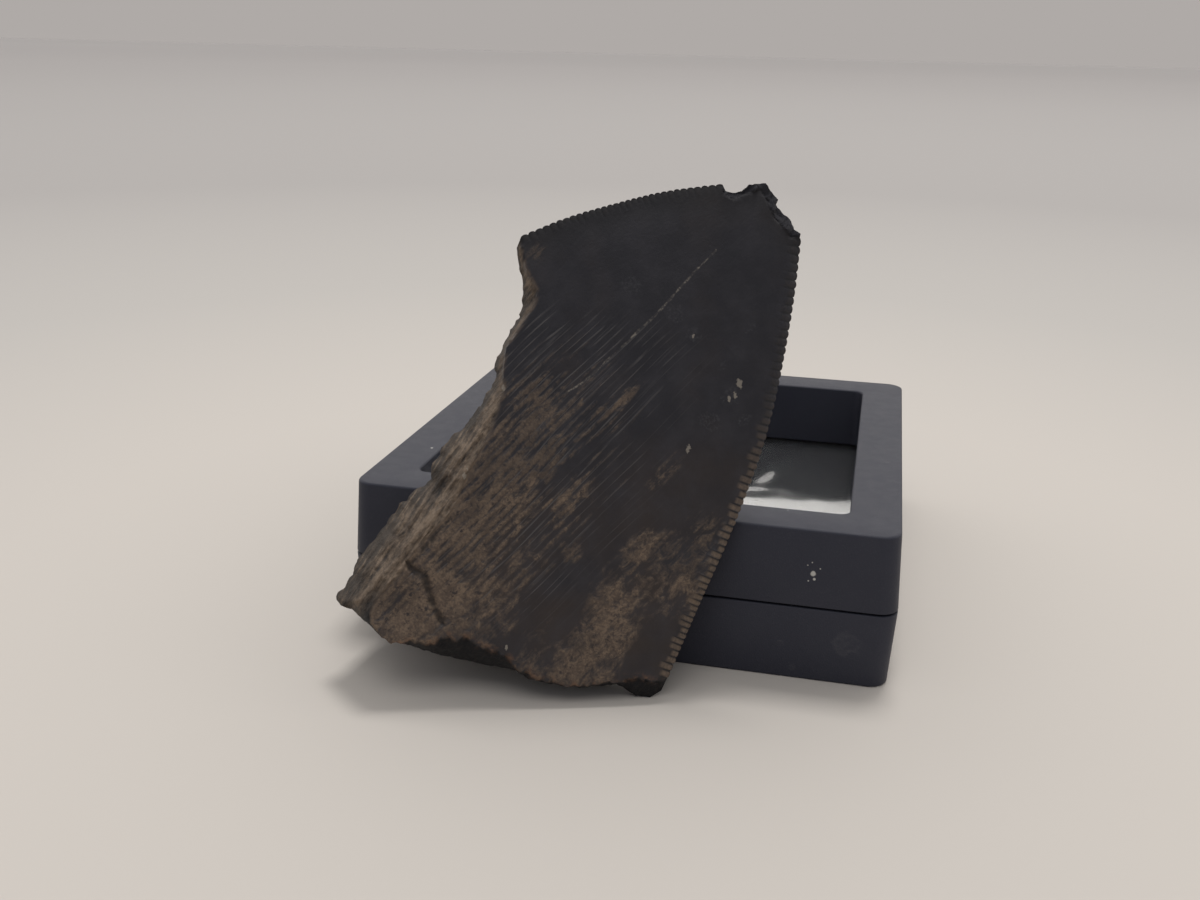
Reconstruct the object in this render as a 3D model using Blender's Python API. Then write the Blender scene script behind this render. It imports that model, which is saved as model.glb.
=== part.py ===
"""A broken megalodon tooth leaning against a small square display box.

The tooth is one solid: a flat enamelled face, a fuller far face, two serrated cutting edges
that meet at a chipped tip, and rough breaks along its foot and its left side. The box lies
flat and closed: two alike square frames, each with a clear film across its window, and the
films meet at the box's middle. Sizes are in millimetres until a mesh is made.
"""
import math

import bmesh
import bpy
import numpy as np
from mathutils import Vector, noise
from mathutils.geometry import delaunay_2d_cdt

MM = 0.001
GAP = 0.3               # clearance between pieces that touch

# Display box
BOX_SIDE = 70.0
BOX_HEIGHT = 20.0
SEAM_HEIGHT = 10.0      # middle of the gap between the two frames
RIM_WIDTH = 6.8         # from the widest part of the box to the window
DRAFT_INSET = 0.45      # each frame narrows by this much, away from the seam
CORNER_RADIUS = 2.4
WINDOW_RADIUS = 1.5
RIM_FILLET = 0.25
FILM_THICKNESS = 0.3
FILM_LAP = 3.2          # how far the film runs in under the rim
PROUD = 2.0             # a cutter stands this far out of what it cuts

# Tooth plane: u to the right, v up the face, w from the face through the tooth
LEAN = math.radians(16.3)
TURN = math.radians(18.0)       # the broken side stands further from the box
FOOT_X = 35.0           # u = 0 is before the middle of the box's front
FOOT_Y = -13.46         # and the face's plane meets the ground this far before the box
GRAIN = math.radians(51.0)      # the fibres run towards the tip

# The cutting edges, seen square to the face, each from the broken side towards the other
LEFT_EDGE = ((-7.2, 55.3), (-2.4, 57.3), (2.4, 58.8), (9.4, 60.6), (16.6, 61.6))
RIGHT_EDGE = ((25.9, 55.4), (25.1, 48.4), (23.5, 39.3), (21.3, 30.5), (17.5, 20.4), (13.8, 12.2),
              (9.9, 3.2))
# How they ran on before the tooth broke, which sets its thickness
LOST_LEFT = (-50.1, 33.1), (-24.7, 47.0)
LOST_RIGHT = (7.3, -3.8), (26.7, 64.6)
# How far apart the serrations are, at these shares of each edge's length
LEFT_PITCH = (0.0, 0.95), (0.35, 0.76), (0.6, 0.71), (1.0, 0.92)
RIGHT_PITCH = (0.0, 1.02), (0.5, 0.92), (0.72, 0.84), (0.8, 0.71), (0.9, 0.72), (1.0, 0.95)
SERRATION_DEPTH = 0.2
SERRATION_RIB = 0.09    # height of the ribs from groove to crest
SERRATION_LENGTH = 2.0  # how far a serration's rib runs in from the edge

# Breaks round the outline, clockwise from the end of each edge
TIP_BREAK = ((17.0, 60.9), (17.9, 60.7), (18.9, 60.9), (19.7, 61.6), (21.7, 61.8), (22.5, 60.8),
             (23.3, 59.9), (23.1, 59.4), (23.8, 58.5), (24.7, 57.7), (25.2, 56.4), (25.9, 55.9))
# The foot's points carry their depth w as well
FOOT_BREAK = ((9.3, 1.46, 2.0), (8.0, 0.67, 2.2), (6.2, 0.87, 2.2), (3.9, 2.4, 2.2),
              (1.9, 2.2, 2.3), (-0.5, 2.0, 2.4), (-4.2, 2.6, 2.4), (-6.6, 3.2, 2.6),
              (-8.0, 4.2, 2.8), (-11.7, 4.9, 3.0), (-14.3, 5.5, 3.2), (-17.0, 6.1, 3.4),
              (-19.6, 6.9, 3.8), (-22.2, 7.8, 4.6), (-24.2, 8.6, 5.8), (-26.2, 9.8, 7.0),
              (-27.8, 11.1, 7.6))
SIDE_BREAK = ((-29.4, 12.2), (-29.4, 13.1), (-28.1, 14.6), (-27.0, 17.1), (-25.8, 18.6),
              (-24.2, 20.7), (-22.6, 22.9), (-21.7, 23.7), (-20.0, 25.5), (-18.2, 26.8),
              (-18.0, 28.0), (-16.4, 31.1), (-13.1, 34.3), (-11.6, 36.4), (-10.1, 39.0),
              (-10.4, 40.3), (-9.2, 43.0), (-8.5, 44.5), (-7.2, 46.4), (-7.1, 47.7), (-6.8, 50.1),
              (-7.1, 51.5), (-7.4, 52.8), (-7.6, 54.1))
# Where the enamelled face ends and the breaks begin
FACE_TIP = ((16.3, 60.5), (17.8, 59.7), (19.4, 60.5), (21.0, 60.8), (21.7, 59.6), (22.3, 57.9),
            (24.5, 55.4))
FACE_FOOT = ((8.9, 3.1), (7.6, 3.1), (5.2, 3.5), (1.9, 3.0), (-0.4, 2.8), (-5.2, 3.5), (-7.9, 5.1),
             (-9.2, 6.8), (-11.6, 7.7), (-14.3, 8.9), (-16.8, 8.9), (-20.0, 8.4), (-22.4, 8.4),
             (-23.6, 9.0))
FACE_SIDE = ((-24.7, 10.6), (-24.7, 11.9), (-23.9, 13.5), (-22.6, 15.0), (-21.3, 16.0),
             (-20.4, 17.9), (-18.6, 20.1), (-15.9, 22.8), (-14.4, 25.1), (-13.5, 27.8),
             (-12.2, 30.0), (-11.0, 32.2), (-9.5, 36.4), (-9.1, 37.9), (-9.3, 39.8), (-8.9, 42.5),
             (-7.7, 44.1), (-6.2, 46.3), (-5.4, 47.7), (-5.2, 49.1), (-5.7, 50.1), (-6.6, 51.7),
             (-7.0, 53.8))

# Thickness: a lens that thins to both cutting edges
FULL_THICKNESS = 8.2
THICKENING = 9.0        # distance from an edge over which the tooth fills out
TO_ROOT = (-0.757, -0.654)      # the way to the lost root, where the far side swells
ROOT_START = -16.0      # how far along that way the swelling begins
ROOT_SWELL = 0.018      # its height over the square of the distance from there
FOOT_TAPER = 2.6        # the far face curls in to the foot over this distance
SWELL_TAPER = 3.5       # distance from the breaks over which the swelling rises
# Relief
BEVEL_DEPTH = 0.5       # the face drops to the cutting edges in a narrow bevel
BEVEL_WIDTH = 0.8
ROLL_DEPTH = 0.35       # and before that in a gentle roll
ROLL_WIDTH = 6.0
EDGE_DEPTH = BEVEL_DEPTH + ROLL_DEPTH
CRACK = ((-20.5, 17.7), (-19.8, 16.8), (-18.7, 16.1), (-18.3, 15.0), (-17.8, 13.2), (-17.3, 11.8),
         (-16.6, 10.5))
CRACK_DEPTH = 0.55
CRACK_WIDTH = 0.8
FIBRE_WAVES = ((2.9, 0.48, 0.4), (1.55, 0.30, 2.1))     # spacing, height, phase
ENAMEL_LIP = 0.35       # the enamel ends in a small step down to the fibres
BREAK_ROUGHNESS = 0.35
THINNEST = 0.6          # what the fibres leave of the tooth, away from its outline

FILM_ALPHA = 0.25
PART_NAME = "megalodon_tooth_display"


# ---- lines in the tooth's plane -------------------------------------------------------------

def curve_through(points, step):
    """A smooth line through the points, with a point about every step."""
    knots = np.array([points[0], *points, points[-1]], float)
    line = []
    for before, start, end, after in zip(knots, knots[1:], knots[2:], knots[3:]):
        count = max(1, round(np.linalg.norm(end - start) / step))
        for t in np.arange(count)[:, None] / count:
            line.append(0.5 * (2 * start + (end - before) * t
                               + (2 * before - 5 * start + 4 * end - after) * t ** 2
                               + (3 * start - before - 3 * end + after) * t ** 3))
    return np.vstack([*line, knots[-1]])


def straight_through(points, step):
    """The same corners with points between them, about a step apart."""
    points = np.array(points, float)
    line = []
    for start, end in zip(points, points[1:]):
        count = max(1, round(np.linalg.norm((end - start)[:2]) / step))
        line.extend(start + (end - start) * t for t in np.arange(count) / count)
    return np.array([*line, points[-1]])


def nearest(points, line):
    """Distance of each point to the line, and how far along the line the nearest place is."""
    start, along = line[:-1, :2], np.diff(line[:, :2], axis=0)
    length = np.linalg.norm(along, axis=1)
    offset = points[:, None, :] - start
    t = np.clip((offset * along).sum(2) / length ** 2, 0, 1)
    distance = np.linalg.norm(offset - t[..., None] * along, axis=2)
    pick = distance.argmin(axis=1)
    rows = np.arange(len(points))
    reach = np.concatenate([[0.0], np.cumsum(length)])
    return distance[rows, pick], reach[pick] + t[rows, pick] * length[pick]


def inside(points, ring):
    """Whether each point lies within the closed ring."""
    x, y = points[:, :1], points[:, 1:]
    ax, ay = ring[:, 0], ring[:, 1]
    bx, by = np.roll(ax, -1), np.roll(ay, -1)
    rise = np.where(by == ay, 1e-9, by - ay)
    crosses = ((ay > y) != (by > y)) & (x < (bx - ax) * (y - ay) / rise + ax)
    return crosses.sum(axis=1) % 2 == 1


def along_edge(line, distance):
    """The place this far along a line, and the outward normal there (the line runs clockwise)."""
    step = np.diff(line, axis=0)
    reach = np.concatenate([[0.0], np.cumsum(np.linalg.norm(step, axis=1))])
    place = np.array([np.interp(distance, reach, line[:, k]) for k in (0, 1)])
    segment = min(int(np.searchsorted(reach, distance, side="right")) - 1, len(step) - 1)
    heading = step[segment] / np.linalg.norm(step[segment])
    return place, np.array([-heading[1], heading[0]])


def length_of(line):
    return np.linalg.norm(np.diff(line, axis=0), axis=1).sum()


def serration_count(line, pitches):
    """Places along an edge, and how many serrations lie before each of them."""
    places = np.linspace(0, length_of(line), 400)
    pitch = np.interp(places / places[-1], *np.transpose(pitches))
    passed = np.concatenate([[0.0], np.cumsum(np.diff(places) / pitch[1:])])
    return places, passed * round(passed[-1]) / passed[-1]


LEFT_LINE = curve_through(LEFT_EDGE, 0.5)
RIGHT_LINE = curve_through(RIGHT_EDGE, 0.5)
LEFT_COUNT = serration_count(LEFT_LINE, LEFT_PITCH)
RIGHT_COUNT = serration_count(RIGHT_LINE, RIGHT_PITCH)
OLD_LEFT = np.vstack([LOST_LEFT, LEFT_LINE, (26.2, 62.8)])
OLD_RIGHT = np.vstack([LOST_RIGHT[1], RIGHT_LINE, LOST_RIGHT[0]])
FACE_RING = np.vstack([LEFT_LINE, FACE_TIP, RIGHT_LINE, FACE_FOOT, FACE_SIDE])


# ---- the tooth's two faces ------------------------------------------------------------------

def edge_distance(points):
    """Distance to the nearer cutting edge, rounded off where the two are alike."""
    left = nearest(points, OLD_LEFT)[0]
    right = nearest(points, OLD_RIGHT)[0]
    blend = 3.0
    return np.maximum(0.0, -blend * np.log(np.exp(-left / blend) + np.exp(-right / blend)))


def thickness(points):
    """w of the far side where nothing is broken off it."""
    filled = 1 - np.exp(-edge_distance(points) / THICKENING)
    return EDGE_DEPTH + (FULL_THICKNESS - EDGE_DEPTH) * filled


def serration_ribs(points):
    """Height of the small ribs that run in from each serration."""
    height = np.zeros(len(points))
    for line, (places, passed) in ((LEFT_LINE, LEFT_COUNT), (RIGHT_LINE, RIGHT_COUNT)):
        inset, reach = nearest(points, line)
        wave = 0.5 - 0.5 * np.cos(2 * math.pi * np.interp(reach, places, passed))
        height += SERRATION_RIB * (wave - 0.5) * np.clip(1 - inset / SERRATION_LENGTH, 0, 1)
    return height


def fibres(points):
    """Splintered ridges along the grain."""
    across = points @ np.array([-math.sin(GRAIN), math.cos(GRAIN)])
    along = points @ np.array([math.cos(GRAIN), math.sin(GRAIN)])
    drift = 0.8 * np.sin(along / 5.3) + 0.5 * np.sin(along / 2.9 + 1.0)
    height = np.zeros(len(points))
    for spacing, size, phase in FIBRE_WAVES:
        height += size * np.sin(2 * math.pi * across / spacing + drift + phase)
    return height


def roughness(points, scale, seed):
    return np.array([noise.noise(Vector((u / scale, v / scale, seed))) for u, v in points])


def break_outline():
    """Points (u, v, w) round the tip, the foot and the side, where the two faces meet."""
    tip = straight_through(TIP_BREAK, 0.6)
    foot = straight_through(FOOT_BREAK, 1.1)
    side = straight_through(SIDE_BREAK, 1.1)
    jag = 0.35 * np.column_stack([roughness(side, 1.3, 4.0), roughness(side, 1.3, 9.0)])
    side = side + jag * np.clip(np.arange(len(side))[::-1] / 4, 0, 1)[:, None]
    return (np.column_stack([tip, thickness(tip)]), foot, np.column_stack([side, thickness(side)]))


BREAKS = break_outline()
OUTLINE = np.vstack([LEFT_LINE] + [line[:, :2] for line in (BREAKS[0], RIGHT_LINE, *BREAKS[1:])]
                    + [LEFT_LINE[:1]])


def weighted(points, line, values):
    """The line's values carried over to the points, the nearer counting for more."""
    square = ((points[:, None, :] - line[:, :2]) ** 2).sum(2)
    weight = 1 / (square + 0.05) ** 2
    return (weight * values).sum(1) / weight.sum(1)


def front_depth(points):
    """w of the side that shows the enamel: the face, then the broken slopes outside it."""
    edge = edge_distance(points)
    face = BEVEL_DEPTH * np.exp(-edge / BEVEL_WIDTH) + ROLL_DEPTH * np.exp(-edge / ROLL_WIDTH)
    border = np.vstack([FACE_RING, FACE_RING[:1]])
    outside = np.where(inside(points, FACE_RING), 0.0, nearest(points, border)[0])
    rim = np.vstack(BREAKS)
    to_rim = np.min([nearest(points, line)[0] for line in BREAKS], axis=0)
    share = outside / (outside + to_rim + 1e-6)
    slope = (weighted(points, rim, rim[:, 2]) - face) * share ** 0.8
    splintered = fibres(points) * np.clip(nearest(points, BREAKS[1])[0] / 5 - 0.3, 0, 1)
    bare = np.clip(3.5 * share, 0, 1) * np.clip(3.5 * (1 - share), 0, 1)
    rough = bare * (ENAMEL_LIP + splintered + BREAK_ROUGHNESS * roughness(points, 2.2, 1.0))
    crack_distance = nearest(points, curve_through(CRACK, 0.6))[0]
    crack = CRACK_DEPTH * np.exp(-(crack_distance / CRACK_WIDTH) ** 2)
    front = face + slope + rough + crack - serration_ribs(points)
    left = np.minimum(THINNEST, 0.6 * nearest(points, OUTLINE)[0])
    return np.minimum(front, back_depth(points) - left)


def back_depth(points):
    """w of the far side, which fills out between the edges and curls in to the foot."""
    full = thickness(points)
    rim = np.vstack(BREAKS)
    shortfall = weighted(points, rim, thickness(rim[:, :2]) - rim[:, 2])
    to_rim = nearest(points, rim)[0]
    curl = shortfall * np.exp(-(to_rim / FOOT_TAPER) ** 1.5)
    beyond = np.maximum(0, points @ np.array(TO_ROOT) - ROOT_START)
    swell = ROOT_SWELL * beyond ** 2 * (1 - np.exp(-(to_rim / SWELL_TAPER) ** 2))
    return full - curl + swell + serration_ribs(points) + 0.12 * roughness(points, 6.0, 3.0)


# ---- the tooth's mesh -----------------------------------------------------------------------

def serrated(line, places, passed):
    """The cutting edge with its serrations: a notch, then three points over the crest."""
    points = []
    for index in range(round(passed[-1])):
        for phase, lift in ((0.0, -0.6), (0.25, 0.2), (0.5, 0.4), (0.75, 0.2)):
            place, outward = along_edge(line, np.interp(index + phase, passed, places))
            points.append(place + outward * lift * SERRATION_DEPTH)
    return np.column_stack([points, np.full(len(points), EDGE_DEPTH)])


def rows_beside(line, places, offsets):
    """Points at these places along a line, at these offsets to its outer side."""
    points = []
    for distance in places:
        place, outward = along_edge(line, distance)
        points.extend(place + outward * offset for offset in offsets)
    return np.array(points)


def lattice(across, along):
    """Points in rows along the grain, over the whole tooth."""
    rows = np.arange(-45, 45, across)
    places = np.arange(-30, 80, along)
    a, c = (grid.ravel() for grid in np.meshgrid(places, rows))
    turn = np.array([[math.cos(GRAIN), math.sin(GRAIN)], [-math.sin(GRAIN), math.cos(GRAIN)]])
    return np.column_stack([a, c]) @ turn


def clear_of(points, others, room):
    """Those points that keep their distance from the others."""
    near = np.array([((others - p) ** 2).sum(1).min() for p in points])
    return points[near > room ** 2]


def tooth_points(outline, *, far_side):
    """Where the mesh has its vertices inside the outline."""
    ribs = (-0.5, -1.1, -1.9)
    # one row at every groove and one at every crest
    rows = np.vstack([rows_beside(line, np.interp(np.arange(0.5, passed[-1], 0.5), passed, places), ribs)
                      for line, (places, passed) in ((LEFT_LINE, LEFT_COUNT), (RIGHT_LINE, RIGHT_COUNT))])
    fixed = clear_of(rows[inside(rows, outline)], outline, 0.3)
    if far_side:
        sheets = [(lattice(1.2, 1.8), True, 0.9), (lattice(2.0, 2.4), False, 1.2)]
    else:
        border = straight_through(np.vstack([FACE_FOOT, FACE_SIDE]), 0.9)
        crack_line = curve_through(CRACK, 0.3)
        crack = rows_beside(crack_line, np.arange(1.1, length_of(crack_line), 1.1), (-0.9, 0.0, 0.9))
        lines = clear_of(np.vstack([border, clear_of(crack, border, 0.7)]), outline, 0.4)
        fixed = np.vstack([fixed, lines[inside(lines, outline)]])
        sheets = [(lattice(0.56, 1.8), True, 0.42), (lattice(1.8, 2.0), False, 1.0)]
    kept = [fixed]
    for points, near_break, room in sheets:
        points = points[inside(points, outline)]
        on_break = ~inside(points, FACE_RING)
        if far_side:
            on_break = nearest(points, BREAKS[1])[0] < 4.0
        points = points[on_break == near_break]
        kept.append(clear_of(clear_of(points, outline, room), np.vstack(kept), room))
    return np.vstack(kept)


def triangulated(outline, inner):
    """Places and triangles of one side; no edge runs straight across from rim to rim."""
    count = len(outline)
    while True:
        places = np.vstack([outline, inner])
        flat = [Vector(place) for place in places]
        result = delaunay_2d_cdt(flat, [], [tuple(range(count))], 1, 1e-5)
        if len(result[0]) != len(flat):
            raise ValueError("the outline crosses itself")
        order = [source[0] for source in result[3]]
        faces = [[order[corner] for corner in face] for face in result[2]]
        sides = {tuple(sorted(pair)) for a, b, c in faces for pair in ((a, b), (b, c), (c, a))}
        chords = sorted((a, b) for a, b in sides if b < count and b - a not in (1, count - 1))
        if not chords:
            return places, faces
        inner = np.vstack([inner, [(places[a] + places[b]) / 2 for a, b in chords]])


def mesh_of_tooth():
    """Two relief surfaces over the same outline, joined along it.

    No primitive or modifier makes a relief bounded by a serrated, broken outline, so its
    triangles come from a Delaunay triangulation of the points in the tooth's plane.
    """
    cutting = serrated(LEFT_LINE, *LEFT_COUNT), serrated(RIGHT_LINE, *RIGHT_COUNT)
    rim = np.vstack([cutting[0], BREAKS[0], cutting[1], BREAKS[1], BREAKS[2]])
    mesh = bmesh.new()
    rim_verts = [mesh.verts.new((u * MM, w * MM, v * MM)) for u, v, w in rim]
    for far_side, depth in ((False, front_depth), (True, back_depth)):
        inner = tooth_points(rim[:, :2], far_side=far_side)
        places, faces = triangulated(rim[:, :2], inner)
        heights = depth(places[len(rim):])
        verts = list(rim_verts)
        for (u, v), w in zip(places[len(rim):], heights):
            verts.append(mesh.verts.new((u * MM, w * MM, v * MM)))
        for face in faces:
            corners = [verts[corner] for corner in face]
            mesh.faces.new(corners[::-1] if far_side else corners)
    data = bpy.data.meshes.new("tooth")
    mesh.to_mesh(data)
    mesh.free()
    return data


# ---- materials and objects ------------------------------------------------------------------

def material(name, colour, rough, alpha=1.0):
    made = bpy.data.materials.new(name)
    made.use_nodes = True
    shader = made.node_tree.nodes["Principled BSDF"]
    shader.inputs["Base Color"].default_value = (*colour, 1.0)
    shader.inputs["Roughness"].default_value = rough
    shader.inputs["Metallic"].default_value = 0.0
    shader.inputs["Alpha"].default_value = alpha
    return made


def new_collection(name, *, hidden=False):
    made = bpy.data.collections.new(name)
    bpy.context.scene.collection.children.link(made)
    made.hide_render = hidden
    return made


def new_object(name, data, collection, finish=None):
    made = bpy.data.objects.new(name, data)
    collection.objects.link(made)
    if finish:
        data.materials.append(finish)
    return made


def box_mesh(name, side, low, high, *, top_side=None, radius=0.0, fillet=0.0):
    """A square block from z low to high, with rounded upright corners and a filleted top."""
    mesh = bmesh.new()
    bmesh.ops.create_cube(mesh, size=1.0)
    for vert in mesh.verts:
        at_top = vert.co.z > 0
        width = (top_side if top_side and at_top else side) * MM
        vert.co = Vector((vert.co.x * width, vert.co.y * width, (high if at_top else low) * MM))
    if radius:
        half = 0.5 * (high - low) * MM
        upright = [e for e in mesh.edges if abs(e.verts[0].co.z - e.verts[1].co.z) > half]
        bmesh.ops.bevel(mesh, geom=upright, offset=radius * MM, segments=6, profile=0.5, affect="EDGES")
    if fillet:
        top = [e for e in mesh.edges if min(v.co.z for v in e.verts) > (high - 1e-3) * MM]
        bmesh.ops.bevel(mesh, geom=top, offset=fillet * MM, segments=2, profile=0.5, affect="EDGES")
    bmesh.ops.recalc_face_normals(mesh, faces=mesh.faces)
    data = bpy.data.meshes.new(name)
    mesh.to_mesh(data)
    mesh.free()
    return data


def cut(target, cutter):
    """Takes the cutter's shape out of the target with an exact Boolean."""
    modifier = target.modifiers.new("cut_" + cutter.name, "BOOLEAN")
    modifier.operation = "DIFFERENCE"
    modifier.solver = "EXACT"
    modifier.object = cutter
    cutter.hide_render = True
    cutter.display_type = "WIRE"


def make_frame(name, parts, cutters, finish, *, upper):
    """One half of the box, seam down; the lower half is the same piece turned over."""
    depth = BOX_HEIGHT - SEAM_HEIGHT - GAP / 2
    window = BOX_SIDE - 2 * RIM_WIDTH
    pocket = FILM_THICKNESS + 1.5 * GAP
    shell = box_mesh(name, BOX_SIDE, 0, depth, top_side=BOX_SIDE - 2 * DRAFT_INSET,
                     radius=CORNER_RADIUS, fillet=RIM_FILLET)
    frame = new_object(name, shell, parts, finish)
    through = box_mesh("window", window, -PROUD, depth + PROUD, radius=WINDOW_RADIUS)
    opening = new_object(name + "_window", through, cutters)
    seat = box_mesh("rebate", window + 2 * FILM_LAP + 2 * GAP, -PROUD, pocket)
    rebate = new_object(name + "_rebate", seat, cutters)
    for piece in (frame, opening, rebate):
        side = 1 if upper else -1
        height = SEAM_HEIGHT + side * GAP / 2
        piece.location = Vector((BOX_SIDE / 2, BOX_SIDE / 2, height)) * MM
        piece.rotation_euler = (0.0 if upper else math.pi, 0.0, 0.0)
    cut(frame, opening)
    cut(frame, rebate)
    return frame


def make_film(name, parts, finish, *, upper):
    """A clear film that spans the window, its rim lapped under the frame."""
    side = BOX_SIDE - 2 * RIM_WIDTH + 2 * FILM_LAP
    low = SEAM_HEIGHT + GAP / 2 if upper else SEAM_HEIGHT - GAP / 2 - FILM_THICKNESS
    film = new_object(name, box_mesh(name, side, low, low + FILM_THICKNESS, radius=1.0), parts, finish)
    film.location = Vector((BOX_SIDE / 2, BOX_SIDE / 2, 0.0)) * MM
    return film


def make_tooth(parts, finish):
    tooth = new_object("tooth", mesh_of_tooth(), parts, finish)
    tooth.location = Vector((FOOT_X, FOOT_Y, 0.0)) * MM
    tooth.rotation_euler = (-LEAN, 0.0, TURN)
    tooth.data.shade_smooth()
    tooth.data.set_sharp_from_angle(angle=math.radians(40))
    return tooth


def centre_on_ground(pieces, root):
    """Moves everything so that the origin is the bottom centre of the whole object."""
    bpy.context.view_layer.update()
    corners = [piece.matrix_world @ vert.co for piece in pieces for vert in piece.data.vertices]
    low = Vector(min(c[axis] for c in corners) for axis in range(3))
    high = Vector(max(c[axis] for c in corners) for axis in range(3))
    root.location = -Vector(((low.x + high.x) / 2, (low.y + high.y) / 2, low.z))


def main():
    for old in list(bpy.data.objects):
        bpy.data.objects.remove(old)
    parts = new_collection(PART_NAME)
    cutters = new_collection("cutters", hidden=True)
    root = new_object("display_root", None, parts)
    black = material("black_plastic", (0.022, 0.023, 0.026), 0.5)
    clear = material("clear_film", (0.9, 0.92, 0.92), 0.08, FILM_ALPHA)
    enamel = material("fossil_enamel", (0.035, 0.030, 0.026), 0.45)
    pieces = [
        make_tooth(parts, enamel),
        make_frame("frame_lower", parts, cutters, black, upper=False),
        make_frame("frame_upper", parts, cutters, black, upper=True),
        make_film("film_lower", parts, clear, upper=False),
        make_film("film_upper", parts, clear, upper=True),
    ]
    for piece in [*pieces, *cutters.objects]:
        piece.parent = root
    centre_on_ground(pieces, root)


main()
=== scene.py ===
import math

import bmesh
import bpy
import numpy as np
from mathutils import Euler, Matrix, Vector, noise
from mathutils.geometry import delaunay_2d_cdt


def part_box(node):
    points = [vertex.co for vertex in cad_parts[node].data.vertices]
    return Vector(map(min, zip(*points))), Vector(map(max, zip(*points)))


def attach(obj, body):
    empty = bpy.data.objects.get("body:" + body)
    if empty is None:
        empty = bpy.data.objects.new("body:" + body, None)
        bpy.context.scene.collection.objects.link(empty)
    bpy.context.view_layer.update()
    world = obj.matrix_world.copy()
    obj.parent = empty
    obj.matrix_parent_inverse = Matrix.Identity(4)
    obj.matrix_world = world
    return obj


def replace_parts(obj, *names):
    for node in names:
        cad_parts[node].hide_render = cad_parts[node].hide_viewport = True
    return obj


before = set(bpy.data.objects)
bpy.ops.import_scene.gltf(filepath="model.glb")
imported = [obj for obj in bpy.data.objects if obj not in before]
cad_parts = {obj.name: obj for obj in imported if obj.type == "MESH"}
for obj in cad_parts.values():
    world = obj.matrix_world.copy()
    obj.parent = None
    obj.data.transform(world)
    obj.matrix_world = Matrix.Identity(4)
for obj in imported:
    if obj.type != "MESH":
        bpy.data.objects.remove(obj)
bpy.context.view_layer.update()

scene = bpy.context.scene
mm = 0.001
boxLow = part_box("frame_lower")[0]
corner = Vector((boxLow.x, boxLow.y, 0.0))  # the box's front left corner, where every measure starts
print("frame loaded")


# camera, floor and light: places in mm from the corner
view = {
    "place": (63.87, -136.82, 75.8),
    "turn": (71.055, -1.173, 13.081),  # degrees, XYZ
    "lens": 36.78,
    "sensor": 36.0,
    "nearest": 0.005,  # metres, before which nothing is drawn
}


def newObject(name, data, place=(0.0, 0.0, 0.0)):
    made = bpy.data.objects.new(name, data)
    scene.collection.objects.link(made)
    made.location = place
    return made


def setCamera():
    data = bpy.data.cameras.new("camera")
    data.lens = view["lens"]
    data.sensor_width = view["sensor"]
    data.clip_start = view["nearest"]
    camera = newObject("camera", data, corner + Vector(view["place"]) * mm)
    camera.rotation_euler = Euler([math.radians(angle) for angle in view["turn"]])
    scene.camera = camera


def tone(red, green, blue):
    # a colour as a screen shows it, 0 to 255, in the linear numbers shaders use
    def linear(value):
        value = value / 255
        return value / 12.92 if value <= 0.04045 else ((value + 0.055) / 1.055) ** 2.4
    return (linear(red), linear(green), linear(blue), 1.0)


class Wire:
    # one output of a shader node; sums written on it become Math nodes

    def __init__(self, nodes, socket):
        self.nodes = nodes
        self.socket = socket

    def math(self, operation, *others):
        return self.nodes.node("Math", {"operation": operation}, dict(enumerate((self, *others))))

    def __add__(self, other):
        return self.math("ADD", other)

    def __sub__(self, other):
        return self.math("SUBTRACT", other)

    def __rsub__(self, other):
        return self.nodes.node("Math", {"operation": "SUBTRACT"}, {0: other, 1: self})

    def __mul__(self, other):
        return self.math("MULTIPLY", other)

    __radd__ = __add__
    __rmul__ = __mul__

    def ramp(self, low, high):
        # 0 below low, 1 above high, smooth between; low may be the greater
        sockets = {"Value": self, "From Min": low, "From Max": high}
        return self.nodes.node("MapRange", {"interpolation_type": "SMOOTHSTEP"}, sockets)


class Nodes:
    # a tree of shader nodes being made; its colours may go by their names in the palette

    def __init__(self, tree, palette):
        self.tree = tree
        self.palette = palette

    def plug(self, socket, value):
        if isinstance(value, Wire):
            self.tree.links.new(value.socket, socket)
        else:
            socket.default_value = self.palette[value] if isinstance(value, str) else value

    def node(self, kind, settings=None, sockets=None, out=0):
        made = self.tree.nodes.new("ShaderNode" + kind)
        settings = dict(settings or {})
        stops = settings.pop("stops", ())
        for key, value in settings.items():
            setattr(made, key, value)
        for index, (position, colour) in enumerate(stops):
            ramp = made.color_ramp.elements
            element = ramp[index] if index < len(ramp) else ramp.new(position)
            element.position, element.color = position, colour
        for key, value in (sockets or {}).items():
            self.plug(made.inputs[key], value)
        return Wire(self, made.outputs[out])

    def mix(self, factor, first, second):
        return self.node("Mix", {"data_type": "RGBA"}, {0: factor, 6: first, 7: second}, 2)

    def vector(self, operation, first, second, out=0):
        return self.node("VectorMath", {"operation": operation}, {0: first, 1: second}, out)

    def coated(self, colour, *coats):
        # coats of paint over a colour, each with its mask and its own colour
        for mask, coat in coats:
            colour = self.mix(mask, colour, coat)
        return colour

    def scaled(self, vector, factor):
        return self.node("VectorMath", {"operation": "SCALE"}, {0: vector, "Scale": factor})


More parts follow.
